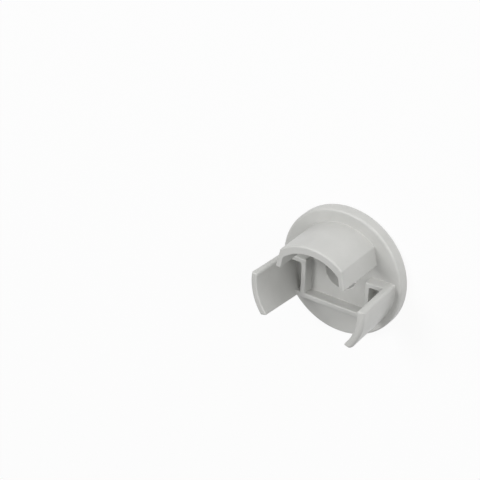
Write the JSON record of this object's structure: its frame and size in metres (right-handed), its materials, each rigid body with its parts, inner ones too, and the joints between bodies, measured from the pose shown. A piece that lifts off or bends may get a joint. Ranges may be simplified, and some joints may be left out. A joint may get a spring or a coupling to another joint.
{
  "type": "profile end cap",
  "caption": "Round clip-in end cap for a tubular profile, with an arched spigot, two splayed spring tongues, a low frame between them and a central cable hole.",
  "frame": {"origin": "centre of the flange's flat outer face, where the cable hole's axis crosses it", "axes": "+Z from the outer face into the profile, +Y from the axis towards the arch, +X across both tongues"},
  "size_m": [0.02, 0.02, 0.0116],
  "materials": {
    "plastic": "satin light grey, moulded"
  },
  "bodies": {
    "root": {"end_cap": "plastic"}
  },
  "joints": []
}
